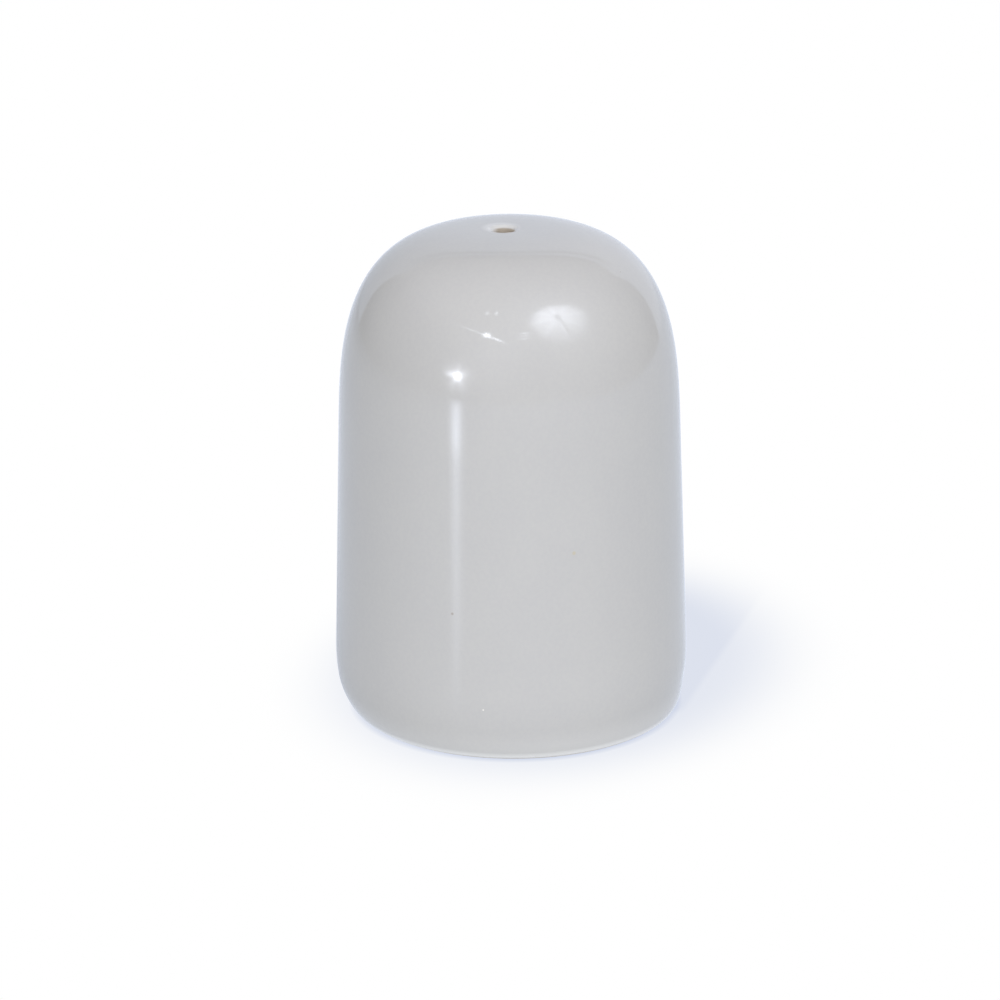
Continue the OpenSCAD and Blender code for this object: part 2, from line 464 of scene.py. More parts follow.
class StopperShape:
    """The stopper's outline, worked out from the CAD box and the sizes."""

    def __init__(self, shell, sizes):
        self.sizes = sizes
        self.flange_r = (STOPPER_HIGH[0] - STOPPER_LOW[0]) / 2
        self.low_z = shell.sizes.recess - sizes.flange
        self.flange_top = shell.sizes.recess
        self.skirt_top = STOPPER_HIGH[2]
        fill_r = shell.sizes.fill_hole / 2
        self.skirt_r = fill_r - sizes.skirt_gap
        self.tip_r = self.skirt_r - sizes.lead
        self.cup_r = self.skirt_r - sizes.skirt
        self.cup_tip_r = self.tip_r - sizes.skirt
        self.cup_z = self.skirt_top - sizes.end
        self.rib_r = sizes.skirt_gap - sizes.rib_clearance
        pitch = shell.sizes.floor - 2 * shell.sizes.fill_edge - 2 * self.rib_r
        middle = shell.sizes.recess + shell.sizes.floor / 2
        self.ribs = (middle - pitch / 2, middle + pitch / 2)
        self.floor_z = shell.floor_z

    def outline(self):
        """Points (r, z) from the middle of the cup, over the flange and ribs, to the top's middle."""
        sizes = self.sizes
        end = sizes.end_round
        gate = sizes.gate / 2
        # Gate mark: a shallow dent in the middle of the cup
        points = [(0.0, self.cup_z - gate * 0.3), (gate * 0.6, self.cup_z - gate * 0.25)]
        for radius in (gate, gate * 2, self.cup_tip_r - end - gate):
            points.append((radius, self.cup_z))
        points += arc(self.cup_tip_r - end, self.cup_z - end, end, 90, 0)
        mouth = sizes.skirt / 4
        wall_low = self.low_z + mouth
        for i in range(1, 9):
            part = i / 9
            radius = self.cup_tip_r + (self.cup_r - self.cup_tip_r) * part
            points.append((radius, self.cup_z - end + (wall_low - self.cup_z + end) * part))
        points += arc(self.cup_r + mouth, wall_low, mouth, 180, 270)
        # Flange: a shallow step round its face, then a full round edge with the mould's parting line
        face = self.cup_r + mouth
        rim = self.flange_r - sizes.flange / 2
        step = sizes.face_step
        shallow = ((0.15, 0.0), (0.3, 0.0), (0.36, step), (0.45, step), (0.9, step), (0.96, 0.0))
        for part, drop in shallow:
            points.append((face + (rim - face) * part, self.low_z + drop))
        ridge = sizes.parting_line
        for r, z in arc(rim, self.low_z + sizes.flange / 2, sizes.flange / 2, -90, 90, 24):
            on_line = abs(z - self.low_z - sizes.flange / 2) < 0.05 * MM
            shrink = 0.0 if on_line or r <= rim + 0.1 * MM else ridge
            points.append((r - shrink, z))
        for i in range(1, 6):
            points.append((rim + (self.skirt_r - rim) * i / 6, self.flange_top))
        points.append((self.skirt_r, self.flange_top))
        for height in self.ribs:
            points += arc(self.skirt_r, height, self.rib_r, -90, 90, 14)
        points.append((self.skirt_r, self.floor_z))
        for i in range(1, 6):
            part = i / 6
            radius = self.skirt_r + (self.tip_r - self.skirt_r) * part
            points.append((radius, self.floor_z + (self.skirt_top - end - self.floor_z) * part))
        points += arc(self.tip_r - end, self.skirt_top - end, end, 0, 90)
        for part in (0.75, 0.5, 0.25):
            points.append(((self.tip_r - end) * part, self.skirt_top))
        points.append((0.0, self.skirt_top))
        return points


def grip_section(shape, waist):
    """Points (y, z) round the grip bar, narrowed by waist for the fingers."""
    sizes = shape.sizes
    half = sizes.grip_width / 2 - waist
    low = shape.low_z + sizes.grip_sink + waist * 0.4
    high = shape.low_z + sizes.grip_sink + sizes.grip_height
    bend = min(sizes.grip_width, sizes.grip_height) / 3
    section = arc(half - bend, low + bend, bend, -90, 0)
    section += arc(half - bend, high - bend, bend, 0, 90)
    section += arc(bend - half, high - bend, bend, 90, 180)
    section += arc(bend - half, low + bend, bend, 180, 270)
    return section


def build_stopper(shape, segments=160):
    """The stopper's turned skin, and across its mouth the grip bar moulded in with it."""
    outline = shape.outline()
    verts = [(0.0, 0.0, outline[0][1])]
    for radius, z in outline[1:-1]:
        for k in range(segments):
            a = 2 * math.pi * k / segments
            verts.append((radius * math.cos(a), radius * math.sin(a), z))
    rings = len(outline) - 2
    faces = [tuple(i + 1 for i in face) for face in grid_faces(rings, segments, closed=False)]
    last = len(verts)
    verts.append((0.0, 0.0, outline[-1][1]))
    base = last - segments
    for k in range(segments):
        n = (k + 1) % segments
        faces.append((0, 1 + n, 1 + k))
        faces.append((last, base + k, base + n))
    start = len(verts)
    reach = shape.cup_r + shape.sizes.skirt / 2
    steps = 48
    round_section = len(grip_section(shape, 0.0))
    for i in range(steps + 1):
        x = reach * (2 * i / steps - 1)
        inside = min(abs(x) / shape.cup_r, 1.0)
        waist = shape.sizes.grip_waist * (0.5 + 0.5 * math.cos(math.pi * inside))
        waist -= shape.sizes.grip_root * smooth_step(0.86, 1.0, inside)
        verts += [(x, y, z) for y, z in grip_section(shape, waist)]
    bar = grid_faces(steps + 1, round_section, closed=False)
    faces += [tuple(start + i for i in face) for face in bar]
    faces.append(tuple(start + k for k in range(round_section)))
    faces.append(tuple(start + steps * round_section + k for k in reversed(range(round_section))))
    return mesh_object("moulded_stopper", verts, faces, "stopper", "base_stopper")


# ---------------------------------------------------------------- materials


def add_node(tree, kind, inputs=None, **settings):
    """Adds a shader node with its settings, fills or links its inputs, and gives the node back.

    Inputs are a list in the node's own order, or go by name or number. An input that is a node is
    linked by its first output in use, and a colour is given as red, green and blue.
    """
    node = tree.nodes.new("ShaderNode" + kind)
    for name, value in settings.items():
        setattr(node, name, value)
    if isinstance(inputs, list):
        inputs = dict(enumerate(inputs))
    for key, value in (inputs or {}).items():
        socket = node.inputs[key]
        if isinstance(value, bpy.types.Node):
            value = next(result for result in value.outputs if result.enabled)
        if isinstance(value, bpy.types.NodeSocket):
            tree.links.new(value, socket)
        else:
            socket.default_value = (*value, 1.0) if socket.type == "RGBA" else value
    return node


def new_material(name):
    """An empty node material and its tree."""
    material = bpy.data.materials.new(name)
    material.use_nodes = True
    material.node_tree.nodes.clear()
    return material, material.node_tree


def product(tree, *factors):
    """Several values multiplied together."""
    result = factors[0]
    for factor in factors[1:]:
        result = add_node(tree, "Math", [result, factor], operation="MULTIPLY")
    return result


def hypotenuse(tree, first, second):
    """The square root of the sum of two squares."""
    square = product(tree, second, second)
    squares = add_node(tree, "Math", [first, first, square], operation="MULTIPLY_ADD")
    return add_node(tree, "Math", [squares], operation="SQRT")


def layered(tree, ground, *layers):
    """A colour with others laid over it one by one, each by its own share from 0 to 1."""
    for share, tint in layers:
        ground = add_node(tree, "Mix", {0: share, 6: ground, 7: tint}, data_type="RGBA")
    return ground


def surface_place(tree):
    """A place on the surface in mm, also as x, y and z, and its distance from the shaker's axis."""
    place = add_node(tree, "TexCoord").outputs["Object"]
    mm = add_node(tree, "VectorMath", {0: place, "Scale": 1 / MM}, operation="SCALE")
    x, y, z = add_node(tree, "SeparateXYZ", [mm]).outputs
    return mm, (x, y, z), hypotenuse(tree, x, y)


def glazed_stoneware(shape, colours):
    """Glazed stoneware, glaze fired to a gloss: soft body colour under clear sharp reflections.

    The eye gets faint clouding, thin pale glaze on the edges under painted light, dry clay on the foot
    that also paints contact shade, painted light and shade in the pour hole, a few specks and one
    painted glint.
    """
    material, tree = new_material("glazed_stoneware")
    mm, (x, y, z), radius = surface_place(tree)
    hole_x = add_node(tree, "Math", [x, shape.pour_x / MM], operation="SUBTRACT")
    hole = hypotenuse(tree, hole_x, y)

    # Clouds, and a finer mottle; sizes in mm
    cloud_size, cloud_share = 9.0, 0.4
    mottle_size, mottle_share = 0.6, 0.6
    cloud = add_node(tree, "TexNoise", {"Vector": mm, "Scale": 1 / cloud_size, "Detail": 2.0})
    mottle = add_node(tree, "TexNoise", {"Vector": mm, "Scale": 1 / mottle_size, "Detail": 3.0})
    cloudy = add_node(tree, "MapRange", [cloud, *NOISE_RANGE, 0.0, cloud_share], **SMOOTH)
    mottled = add_node(tree, "MapRange", [mottle, *NOISE_RANGE, 0.0, mottle_share], **SMOOTH)
    mixed = add_node(tree, "Math", [cloudy, mottled], operation="ADD")

    # Thin glaze round the pour hole's rim, with a painted highlight off the rounded rim set a little to
    # the back and left; thin glaze along the foot's outer edge, with painted light over it and over a
    # softer band above, where the lower corner faces the bright table.
    # Each fades in from the first to the second distance or height, in mm
    rim_fade, rim_share = (3.6, 1.9), 0.52
    line_fade = (2.0, 0.55)
    band_fade, band_share = (6.0, 1.6), 0.24
    crown = CROWN_Z / MM
    near_crown = add_node(tree, "MapRange", [z, shape.dome_z / MM, crown - 1])
    pale_middle = (shape.pour_x / MM - 0.4, 0.8, crown - 0.5)
    pale = radius_from(tree, mm, pale_middle)
    pale = add_node(tree, "MapRange", [pale, *rim_fade, 0.0, rim_share], **SMOOTH)
    recess = shape.recess_r / MM
    outside = add_node(tree, "MapRange", [radius, recess, recess + 1], **SMOOTH)
    foot_band = add_node(tree, "MapRange", [z, *band_fade, 0.0, band_share], **SMOOTH)
    foot_line = add_node(tree, "MapRange", [z, *line_fade], **SMOOTH)
    foot = add_node(tree, "Math", [foot_line, foot_band], operation="MAXIMUM")
    edges = [product(tree, pale, near_crown), product(tree, foot, outside)]
    thin_and_lit = add_node(tree, "Math", edges, operation="MAXIMUM")

    # Iron specks: one in a few of the cells, where its size comes out above zero; sizes in mm
    cell_size, largest, size_range, iron_share = 6.0, 0.12, 0.3, 0.4
    cells = add_node(tree, "TexVoronoi", {"Vector": mm, "Scale": 1 / cell_size}).outputs
    shade = add_node(tree, "SeparateColor", [cells["Color"]])
    spread = size_range / cell_size
    speck_size = [shade, spread, largest / cell_size - spread]
    speck_size = add_node(tree, "Math", speck_size, operation="MULTIPLY_ADD")
    speck = add_node(tree, "Math", [cells["Distance"], speck_size], operation="LESS_THAN")
    iron = product(tree, speck, iron_share)
    # The listed specks, the first of them a painted glint
    spots = []
    for *centre, size, strength, hue in SPECKS_AND_GLINT:
        reach = radius_from(tree, mm, centre, (size, size, size))
        spot = add_node(tree, "MapRange", [reach, 1.2, 0.6, 0.0, strength], **SMOOTH)
        spots.append((spot, srgb(hue)))

    # Bare clay on the foot's face, which also paints contact shade along the foot's lowest edge, and on
    # the pour hole's wall, where its pale left side and clay-brown right side are painted light and
    # shade
    face_fade, wall_fade, side_fade = (0.5, 0.15), (1.95, 1.7), (-1.9, -0.7)
    foot_face_and_contact_shade = product(tree, add_node(tree, "MapRange", [z, *face_fade]), outside)
    hole_wall = add_node(tree, "MapRange", [hole, *wall_fade], **SMOOTH)
    shaded_side = add_node(tree, "MapRange", [hole_x, *side_fade], **SMOOTH)
    shaded_hole_clay = product(tree, hole_wall, near_crown, shaded_side)
    unglazed_and_shaded = add_node(tree, "Math", [foot_face_and_contact_shade, shaded_hole_clay], operation="MAXIMUM")

    tone = layered(
        tree,
        colours.glaze,
        (mixed, colours.glaze_cloud),
        (thin_and_lit, colours.thin_glaze_and_light),
        (iron, colours.iron_speck),
        *spots,
        (unglazed_and_shaded, colours.bare_clay_and_shade),
    )
    glaze_rough, thin_rough, clay_rough = 0.045, 0.1, 0.8
    gloss = add_node(tree, "Math", [thin_and_lit, thin_rough, glaze_rough], operation="MULTIPLY_ADD")
    matt = product(tree, unglazed_and_shaded, clay_rough)
    rough = add_node(tree, "Math", [gloss, matt], operation="MAXIMUM")
    grit_size, grit_depth = 0.25, 0.05
    grit = add_node(tree, "TexNoise", {"Vector": mm, "Scale": 1 / grit_size, "Detail": 2.0})
    relief = {"Strength": 0.6, "Distance": grit_depth * MM, "Height": product(tree, grit, unglazed_and_shaded)}
    bump = add_node(tree, "Bump", relief)
    looks = {"Base Color": tone, "Roughness": rough, "IOR": 1.5, "Normal": bump}
    add_node(tree, "OutputMaterial", [add_node(tree, "BsdfPrincipled", looks)])
    return material


def moulded_silicone(colours):
    """Moulded silicone rubber: matt and faintly marbled, with the mould's fine turning marks."""
    material, tree = new_material("moulded_silicone")
    mm, _, radius = surface_place(tree)

    # Marbling over a fine grain; sizes in mm
    marble_size, marble_share, grain_size = 4.0, 0.6, 0.3
    veins = {"Vector": mm, "Scale": 1 / marble_size, "Detail": 3.0, "Distortion": 1.2}
    marble = add_node(tree, "TexNoise", veins)
    marbled = add_node(tree, "MapRange", [marble, 0.35, 0.7, 0.0, marble_share], **SMOOTH)
    tone = layered(tree, colours.stopper, (marbled, colours.stopper_shade))
    grain = add_node(tree, "TexNoise", {"Vector": mm, "Scale": 1 / grain_size, "Detail": 2.0})
    least_rough, rough_range = 0.42, 0.14
    rough = add_node(tree, "Math", [grain, rough_range, least_rough], operation="MULTIPLY_ADD")

    # Turning marks of the mould, as rings; spacing and depth in mm
    ring_spacing, mark_depth, ring_share = 0.35, 0.02, 0.25
    turned = product(tree, radius, 2 * math.pi / ring_spacing)
    turned = add_node(tree, "Math", [turned], operation="SINE")
    height = add_node(tree, "Math", [turned, ring_share, grain], operation="MULTIPLY_ADD")
    relief = {"Strength": 0.25, "Distance": mark_depth * MM, "Height": height}
    bump = add_node(tree, "Bump", relief)
    looks = {"Base Color": tone, "Roughness": rough, "IOR": 1.41, "Normal": bump, "Sheen Weight": 0.1}
    add_node(tree, "OutputMaterial", [add_node(tree, "BsdfPrincipled", looks)])
    return material


# ---------------------------------------------------------------- stage


def direction(azimuth, elevation):
    """A unit vector; azimuth is counted from the front (-Y) towards +X, in degrees."""
    a, e = math.radians(azimuth), math.radians(elevation)
    return Vector((math.sin(a) * math.cos(e), -math.cos(a) * math.cos(e), math.sin(e)))


def build_camera(studio):
    """The camera, placed about the shaker's middle."""
    middle = Vector((0, 0, CROWN_Z / 2))
    data = bpy.data.cameras.new("camera")
    data.sensor_fit = "HORIZONTAL"
    data.sensor_width = SENSOR_WIDTH
    data.lens = studio.focal_pixels / PICTURE_WIDTH * SENSOR_WIDTH
    data.clip_start = 0.01
    camera = bpy.data.objects.new("camera", data)
    back = direction(0, math.degrees(studio.camera_elevation))
    place = Matrix.Translation(middle + studio.camera_distance * back)
    turn_yaw = Matrix.Rotation(-studio.camera_yaw, 4, "Z")
    tilt = Matrix.Rotation(math.pi / 2 - studio.camera_pitch, 4, "X")
    roll = Matrix.Rotation(studio.camera_roll, 4, "Z")
    camera.matrix_world = place @ turn_yaw @ tilt @ roll
    bpy.context.scene.collection.objects.link(camera)
    bpy.context.scene.camera = camera


def seen_in_glaze(tree):
    """1 for rays that mirror or pass through something: glossy and transmission rays."""
    path = add_node(tree, "LightPath").outputs
    rays = [path["Is Glossy Ray"], path["Is Transmission Ray"]]
    return add_node(tree, "Math", rays, operation="MAXIMUM")


def radius_from(tree, place, centre, stretch=(1.0, 1.0, 1.0)):
    """Distance of a place from a centre, with each axis divided by its own size."""
    offset = add_node(tree, "VectorMath", [place, centre], operation="SUBTRACT")
    scaled = add_node(tree, "VectorMath", [offset, stretch], operation="DIVIDE")
    return add_node(tree, "VectorMath", [scaled], operation="LENGTH")


def bell(tree, distance):
    """A bell curve: 1 at no distance, 0.37 at 1 and nearly 0 from 2."""
    fall = product(tree, distance, distance, -1.0)
    return add_node(tree, "Math", [fall], operation="EXPONENT")


def lobe(tree, way, azimuth, elevation, narrowness):
    """A soft lobe of light: 1 in one direction, and less the more a way leans from it."""
    middle = direction(azimuth, elevation)
    lean = add_node(tree, "VectorMath", [way, middle], operation="DOT_PRODUCT")
    ahead = add_node(tree, "Math", [lean, 0.0], operation="MAXIMUM")
    return add_node(tree, "Math", [ahead, narrowness], operation="POWER")


def tinted(tree, value, tint):
    """A grey value as a colour, each channel times its part of a tint."""
    return add_node(tree, "CombineColor", [product(tree, value, part) for part in tint])


def along_and_across(tree, start, azimuth):
    """Distances of a place on the table from a start, ahead in a direction and to its right."""
    ahead = direction(azimuth, 0)
    place = add_node(tree, "TexCoord").outputs["Object"]
    offset = add_node(tree, "VectorMath", [place, start], operation="SUBTRACT")
    found = []
    for way in (ahead, Vector((ahead.y, -ahead.x, 0))):
        found.append(add_node(tree, "VectorMath", [offset, way], operation="DOT_PRODUCT"))
    return found


def table_shadow(tree, studio):
    """How dark the table is: the shaker's soft oval shadow, which leans away from the spot lamp."""
    away = math.degrees(studio.spot_azimuth) + 180
    ahead, side = along_and_across(tree, (0, 0, 0), away)
    shares = []
    for distance, middle, radius in zip((ahead, side), SHADOW_MIDDLE, SHADOW_RADII):
        offset = add_node(tree, "Math", [distance, middle * MM], operation="SUBTRACT")
        shares.append(product(tree, offset, 1 / (radius * MM)))
    oval = hypotenuse(tree, *shares)
    oval = add_node(tree, "MapRange", [oval, 1.0, SHADOW_CORE], **SMOOTH)
    oval = product(tree, oval, oval)

    # Inside it the lamp's own shadow, nearly as wide as the shaker, with straight sharper edges
    edge = SHELL_HIGH.x - 0.3 * MM
    blur, start_blur, added_depth = 0.9 * MM, 4 * MM, 0.265
    off_line = add_node(tree, "Math", [side], operation="ABSOLUTE")
    width = add_node(tree, "MapRange", [off_line, edge + blur, edge - blur], **SMOOTH)
    start = add_node(tree, "MapRange", [ahead, 0.0, start_blur], **SMOOTH)
    inner = product(tree, width, start)
    depth = add_node(tree, "Math", [inner, added_depth, 1.0], operation="MULTIPLY_ADD")
    soft = product(tree, oval, depth, studio.shadow_depth)

    # The thin dark line where the foot stands
    foot_middle, line_depth = (0.6 * MM, 0, 0), 0.15
    foot = SHELL_HIGH.x - 3.2 * MM
    line_fade = (foot + 2.0 * MM, foot + 0.5 * MM)
    place = add_node(tree, "TexCoord").outputs["Object"]
    reach = radius_from(tree, place, foot_middle)
    line = add_node(tree, "MapRange", [reach, *line_fade, 0.0, line_depth])
    return add_node(tree, "Math", [line, soft], operation="ADD")


def mirrored_table(tree):
    """How bright the glaze sees the table: dimmer far to the left, a painted fall-off of the light, and
    darker close behind on the left, a painted shadow.
    """
    # Painted fall-off of the light far to the left
    far_fade, far_light = (0.12, 0.62), 0.52
    # Painted shadow close behind on the left
    patch_middle, patch_radii = (-25 * MM, 70 * MM, 0), (22 * MM, 75 * MM, 1)
    patch_depth = 0.42
    left, _ = along_and_across(tree, (0, 0, 0), -90)
    far = add_node(tree, "MapRange", [left, *far_fade, 1.0, far_light])
    place = add_node(tree, "TexCoord").outputs["Object"]
    patch = bell(tree, radius_from(tree, place, patch_middle, patch_radii))
    near = product(tree, patch, patch_depth)
    return add_node(tree, "Math", [far, near], operation="SUBTRACT")


def lamp_streak(tree, studio):
    """The long soft streak that the left lamp draws on the polished table towards the shaker.

    It widens from its start at the shaker, grows brighter up to a limit, and then fades out.
    """
    start = (-8.4 * MM, -26.3 * MM, 0)
    spread = math.tan(math.radians(4.0))
    rise, limit, end_fade = 16.0, 6.8, (1.9, 0.45)
    step_fade, step = (0.17, 0.24), 2.4
    ahead, side = along_and_across(tree, start, math.degrees(studio.strobe_azimuth))
    ahead = add_node(tree, "Math", [ahead, 1 * MM], operation="MAXIMUM")
    width = add_node(tree, "Math", [side, product(tree, ahead, spread)], operation="DIVIDE")
    strength = add_node(tree, "MapRange", [ahead, *step_fade, 0.0, step], **SMOOTH)
    strength = add_node(tree, "Math", [ahead, rise, strength], operation="MULTIPLY_ADD")
    strength = add_node(tree, "Math", [strength, limit], operation="MINIMUM")
    fade = add_node(tree, "MapRange", [ahead, *end_fade], **SMOOTH)
    return product(tree, bell(tree, width), strength, fade)


def build_floor(studio):
    """A pale polished table top that shows white and keeps the shaker's shadow.

    It is open under the shaker, inside the foot ring, so the base is lit and can be seen.
    """
    foot = MOUNTS["foot"]["pos_m"][0]
    left, right, front, back = TABLE_REACH
    sides = 96
    mesh = bpy.data.meshes.new("table_top")
    shape = bmesh.new()
    rings = [[], []]
    for k in range(sides):
        a = 2 * math.pi * k / sides
        along = Vector((math.cos(a), math.sin(a), 0))
        reach_x = (right if along.x > 0 else left) / max(abs(along.x), TINY)
        reach_y = (back if along.y > 0 else front) / max(abs(along.y), TINY)
        rings[0].append(shape.verts.new(along * foot))
        rings[1].append(shape.verts.new(along * min(reach_x, reach_y)))
    for k in range(sides):
        n = (k + 1) % sides
        shape.faces.new((rings[0][k], rings[1][k], rings[1][n], rings[0][n]))
    shape.to_mesh(mesh)
    shape.free()
    floor = bpy.data.objects.new("table_top", mesh)
    bpy.context.scene.collection.objects.link(floor)
    floor.data.materials.append(white_table(studio))


def white_table(studio):
    """A white polished table: light to the shaker, a dim cool mirror image to its glaze.

    To the camera it is a clear sheet that only dims the white behind it by the shadow.
    """
    material, tree = new_material("white_table")
    path = add_node(tree, "LightPath").outputs
    top = add_node(tree, "Emission", {"Color": TABLE_TINT, "Strength": studio.table_light})

    cool = tinted(tree, mirrored_table(tree), MIRRORED_TABLE_TINT)
    streak = product(tree, lamp_streak(tree, studio), path["Is Glossy Ray"])
    strength = add_node(tree, "Math", [streak, 1.0], operation="ADD")
    mirrored = add_node(tree, "Emission", {"Color": cool, "Strength": strength})

    dark = table_shadow(tree, studio)
    white = []
    for part in SHADOW_TINT:
        white.append(add_node(tree, "Math", [dark, -part, 1.0], operation="MULTIPLY_ADD"))
    sheet = add_node(tree, "BsdfTransparent", [add_node(tree, "CombineColor", white)])
    below = add_node(tree, "NewGeometry").outputs["Backfacing"]
    for share, other in (
        (seen_in_glaze(tree), mirrored),
        (path["Is Camera Ray"], sheet),
        (below, add_node(tree, "BsdfTransparent")),
    ):
        top = add_node(tree, "MixShader", [share, top, other])
    add_node(tree, "OutputMaterial", [top])
    return material


def build_world(studio):
    """White to the camera, a room with a white backdrop to reflections, and soft light to the rest."""
    world = bpy.data.worlds.new("studio")
    world.use_nodes = True
    bpy.context.scene.world = world
    tree = world.node_tree
    tree.nodes.clear()
    way = add_node(tree, "TexCoord").outputs["Generated"]
    dx, dy, dz = add_node(tree, "SeparateXYZ", [way]).outputs

    # Soft light: even, with a broad softbox in front and a little above, and a weaker one behind
    box = product(tree, lobe(tree, way, *SOFTBOX), studio.softbox)
    rear = [lobe(tree, way, *BACK_LIGHT), studio.back_light, studio.fill]
    rear = add_node(tree, "Math", rear, operation="MULTIPLY_ADD")
    above = add_node(tree, "Math", [box, rear], operation="ADD")
    below = add_node(tree, "Math", [dz, 0.0], operation="LESS_THAN")
    below = product(tree, below, studio.table_light)
    soft = add_node(tree, "Math", [above, below], operation="MAXIMUM")
    light = tinted(tree, soft, SOFT_LIGHT_TINT)

    # Backdrop: a flat panel behind, brighter towards the right. Places on it are shares of its
    # distance, each edge as the place where it starts and the place where it is full
    left, right, top = (-1.0, -0.95), (1.17, 1.12), (1.0, 0.96)
    is_behind = add_node(tree, "Math", [dy, 0.0], operation="GREATER_THAN")
    behind = add_node(tree, "Math", [dy, TINY], operation="MAXIMUM")
    across = add_node(tree, "Math", [dx, behind], operation="DIVIDE")
    up = add_node(tree, "Math", [dz, behind], operation="DIVIDE")
    left_edge = add_node(tree, "MapRange", [across, *left], **SMOOTH)
    right_edge = add_node(tree, "MapRange", [across, *right], **SMOOTH)
    top_edge = add_node(tree, "MapRange", [up, *top], **SMOOTH)
    inside = product(tree, left_edge, right_edge, top_edge, is_behind)
    brighter = add_node(tree, "MapRange", [across, -0.7, 0.6], **SMOOTH)
    panel = layered(tree, PANEL_LEFT, (brighter, PANEL_RIGHT))

    # Two thin dark rails along the backdrop's top edge
    rail_left, rail_right, rail_depth = (-0.8, -0.5), (0.9, 0.6), 0.6
    rails = 0.0
    for height, thickness in ((0.80, 0.04), (0.99, 0.05)):
        off = add_node(tree, "Math", [up, height], operation="SUBTRACT")
        rail = bell(tree, product(tree, off, 1 / thickness))
        rails = add_node(tree, "Math", [rail, rails], operation="ADD")
    left_end = add_node(tree, "MapRange", [across, *rail_left], **SMOOTH)
    right_end = add_node(tree, "MapRange", [across, *rail_right], **SMOOTH)
    rails = product(tree, rails, left_end, right_end, rail_depth, is_behind)

    # Room: darker on the left, paler overhead and round a lamp on the right
    to_right = add_node(tree, "MapRange", [dx, -0.9, 0.3], **SMOOTH)
    overhead = add_node(tree, "MapRange", [dz, 0.35, 0.85], **SMOOTH)
    lamp = product(tree, lobe(tree, way, *ROOM_GLOW), 0.8)
    mirrored = layered(
        tree,
        ROOM_LEFT,
        (to_right, ROOM_RIGHT),
        (overhead, ROOM_OVERHEAD),
        (lamp, ROOM_LAMP),
        (inside, panel),
        (rails, BLACK),
    )

    to_camera = add_node(tree, "LightPath").outputs["Is Camera Ray"]
    shade = layered(tree, light, (seen_in_glaze(tree), mirrored), (to_camera, WHITE))
    add_node(tree, "OutputWorld", [add_node(tree, "Background", [shade])])


def glow_card(name, azimuth, elevation, half_width, half_height, tilt, paint):
    """A card of light 1 m away that only the glaze mirrors; paint gives its brightness.

    Half width and half height are angles in degrees as the shaker sees them; tilt turns the card.
    """
    # The lamps are mirrored mostly in the dome, so they stand round this height of the shaker
    dome_share = 0.85
    middle = Vector((0, 0, CROWN_Z * dome_share))
    wide = math.tan(math.radians(half_width))
    high = math.tan(math.radians(half_height))
    mesh = bpy.data.meshes.new(name)
    corners = [(-wide, -high, 0), (wide, -high, 0), (wide, high, 0), (-wide, high, 0)]
    mesh.from_pydata(corners, [], [(0, 1, 2, 3)])
    card = bpy.data.objects.new(name, mesh)
    way = direction(azimuth, elevation)
    card.location = middle + way
    facing = way.to_track_quat("Z", "Y") @ Quaternion((0, 0, 1), math.radians(tilt))
    card.rotation_euler = facing.to_euler()
    bpy.context.scene.collection.objects.link(card)
    for kind in ("camera", "diffuse", "transmission", "shadow", "volume_scatter"):
        setattr(card, f"visible_{kind}", False)
    material, tree = new_material(name)
    material.cycles.emission_sampling = "NONE"
    place = add_node(tree, "TexCoord").outputs["Object"]
    strength = paint(tree, place, wide, high)
    glow = add_node(tree, "Emission", {"Color": FLASH_TINT, "Strength": strength})
    clear = add_node(tree, "BsdfTransparent")
    add_node(tree, "OutputMaterial", [add_node(tree, "AddShader", [glow, clear])])
    mesh.materials.append(material)


def lamp_paint(core, halo, rays, part):
    """A bright core, a part of the card, in a faint halo; rays break the halo into short spikes."""
    halo_part, spike_count = 0.5, 5.0
    middle = (0, 0, 0)

    def paint(tree, place, wide, high):
        near = radius_from(tree, place, middle, (wide * part, high * part, 1))
        far = radius_from(tree, place, middle, (wide * halo_part, high * halo_part, 1))
        x, y, _ = add_node(tree, "SeparateXYZ", [place]).outputs
        turned = add_node(tree, "Math", [y, x], operation="ARCTAN2")
        wave = add_node(tree, "Math", [product(tree, turned, spike_count)], operation="SINE")
        spikes = add_node(tree, "Math", [wave, rays, 1.0 - rays], operation="MULTIPLY_ADD")
        around = product(tree, bell(tree, far), spikes, halo)
        return add_node(tree, "Math", [bell(tree, near), core, around], operation="MULTIPLY_ADD")

    return paint


